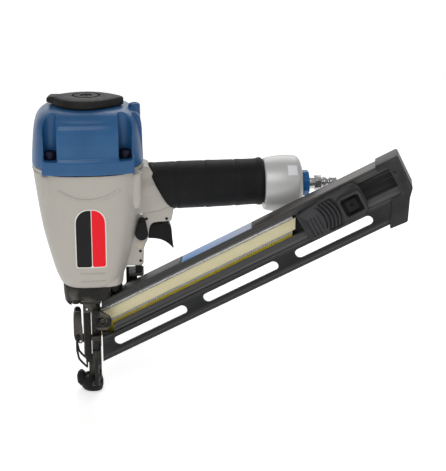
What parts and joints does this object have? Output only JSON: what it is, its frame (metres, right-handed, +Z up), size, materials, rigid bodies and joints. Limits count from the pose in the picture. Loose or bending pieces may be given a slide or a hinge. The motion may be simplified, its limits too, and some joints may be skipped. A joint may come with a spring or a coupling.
{
  "type": "pneumatic angled finish nail gun",
  "caption": "Air-driven finish nailer: tapered grey body, blue cylinder cap, rubber-sleeved handle and a raked slotted magazine with a loaded nail strip.",
  "frame": {"origin": "under the middle of the tool's outline, level with the underside of the no-mar tip; the drive axis stands at X -0.1143, Y 0.0106", "axes": "+Z up along the drive axis, +X back along the handle, -Y the operator's left side"},
  "size_m": [0.3272, 0.1224, 0.274],
  "materials": {
    "cast_grey": "satin metallic grey enamel over cast magnesium",
    "bell_grey": "satin metallic grey",
    "enamel_blue": "semi-gloss blue enamel",
    "moulded_black": "lightly grained black moulding",
    "grip_rubber": "soft matte rubber",
    "anodised_black": "black anodised extrusion",
    "phosphated_steel": "black phosphated steel",
    "bright_steel": "plated",
    "machined_alloy": "machined",
    "brass": "plain",
    "nail_wire": "zinc plated wire",
    "tan_paper": "coated paper tape",
    "plug_blue": "blue moulding",
    "amber_urethane": "urethane"
  },
  "bodies": {
    "gun_frame": {"housing": "cast_grey", "grip_sleeve": "grip_rubber", "end_bell": "bell_grey", "end_plug": "plug_blue", "air_plug": "bright_steel", "cylinder_cap": "enamel_blue", "cap_screw_front_left": "phosphated_steel", "cap_screw_front_right": "phosphated_steel", "cap_screw_rear_left": "phosphated_steel", "cap_screw_rear_right": "phosphated_steel", "cap_gasket": "grip_rubber", "deflector_screw": "phosphated_steel", "cylinder_sleeve": "machined_alloy", "bumper": "amber_urethane", "head_valve_spring": "bright_steel", "valve_body": "brass", "nose_body": "phosphated_steel", "nose_screw_1": "phosphated_steel", "nose_screw_2": "phosphated_steel", "nose_screw_3": "phosphated_steel", "nose_screw_4": "phosphated_steel", "cover_hinge_pin": "bright_steel", "rail_bracket": "phosphated_steel", "bracket_bolt": "bright_steel", "eye_nut": "brass", "safety_spring": "bright_steel", "magazine_body": "anodised_black", "mount_bolt": "bright_steel", "nail_strip": "nail_wire", "paper_tape": "tan_paper", "magazine_end_cap": "moulded_black", "end_cap_screw_1": "bright_steel", "end_cap_screw_2": "bright_steel"},
    "deflector": {"exhaust_deflector": "moulded_black"},
    "driver": {"piston_driver": "machined_alloy", "piston_o_ring": "grip_rubber"},
    "head_valve": {"head_valve": "moulded_black"},
    "trigger": {"trigger": "moulded_black"},
    "trigger_lever": {"trigger_lever": "phosphated_steel"},
    "valve_stem": {"valve_stem": "bright_steel"},
    "selector": {"selector_lever": "phosphated_steel"},
    "cover": {"nose_cover": "phosphated_steel", "latch_pin": "bright_steel"},
    "latch": {"latch_lever": "phosphated_steel"},
    "bail": {"latch_wire": "bright_steel"},
    "safety": {"safety_yoke": "phosphated_steel", "contact_tip": "phosphated_steel", "no_mar_tip": "grip_rubber"},
    "depth_wheel": {"depth_wheel": "phosphated_steel"},
    "pusher": {"pusher": "moulded_black", "pusher_spring": "bright_steel"},
    "pusher_button": {"pusher_button": "moulded_black"}
  },
  "joints": [
    {"name": "deflector_swivel", "type": "hinge", "parent": "gun_frame", "child": "deflector", "pos_m": [-0.1143, 0.0106, 0.269], "axis": [0, 0, 1], "continuous": true},
    {"name": "driver_stroke", "type": "slide", "parent": "gun_frame", "child": "driver", "axis": [0, 0, -1], "range_m": [0, 0.0755]},
    {"name": "head_valve_lift", "type": "slide", "parent": "gun_frame", "child": "head_valve", "axis": [0, 0, 1], "range_m": [0, 0.005], "deforming": ["head_valve_spring"]},
    {"name": "trigger_pull", "type": "hinge", "parent": "gun_frame", "child": "trigger", "pos_m": [-0.0687, 0.0106, 0.1605], "axis": [0, -1, 0], "range_deg": [0, 8]},
    {"name": "trigger_lever_rock", "type": "hinge", "parent": "trigger", "child": "trigger_lever", "pos_m": [-0.0453, 0.0106, 0.1524], "axis": [0, 1, 0], "range_deg": [0, 5]},
    {"name": "valve_stem_lift", "type": "slide", "parent": "gun_frame", "child": "valve_stem", "axis": [0, 0, 1], "range_m": [0, 0.0025]},
    {"name": "selector_turn", "type": "hinge", "parent": "gun_frame", "child": "selector", "pos_m": [-0.0687, 0.0106, 0.1605], "axis": [0, -1, 0], "range_deg": [0, 30]},
    {"name": "cover_swing", "type": "hinge", "parent": "gun_frame", "child": "cover", "pos_m": [-0.1193, 0.0106, 0.082], "axis": [0, 1, 0], "range_deg": [0, 28]},
    {"name": "latch_throw", "type": "hinge", "parent": "cover", "child": "latch", "pos_m": [-0.1258, 0.0106, 0.05], "axis": [0, -1, 0], "range_deg": [0, 70]},
    {"name": "bail_pivot", "type": "hinge", "parent": "latch", "child": "bail", "pos_m": [-0.1276, 0.0106, 0.0553], "axis": [0, -1, 0], "range_deg": [-70, 0]},
    {"name": "safety_lift", "type": "slide", "parent": "gun_frame", "child": "safety", "axis": [0, 0, 1], "range_m": [0, 0.007], "deforming": ["safety_spring"]},
    {"name": "depth_wheel_turn", "type": "hinge", "parent": "safety", "child": "depth_wheel", "pos_m": [-0.1119, -0.0026, 0.0395], "axis": [0, 0, 1], "continuous": true},
    {"name": "pusher_slide", "type": "slide", "parent": "gun_frame", "child": "pusher", "axis": [0.8596, -0.1827, 0.4772], "range_m": [0, 0.015]},
    {"name": "button_press", "type": "slide", "parent": "pusher", "child": "pusher_button", "axis": [0.2079, 0.9781, 0], "range_m": [0, 0.002]}
  ],
  "couplings": [
    {"joint": "valve_stem_lift", "follows": "trigger_pull", "m_per_rad": 0.0172},
    {"joint": "bail_pivot", "follows": "latch_throw", "ratio": -1}
  ]
}
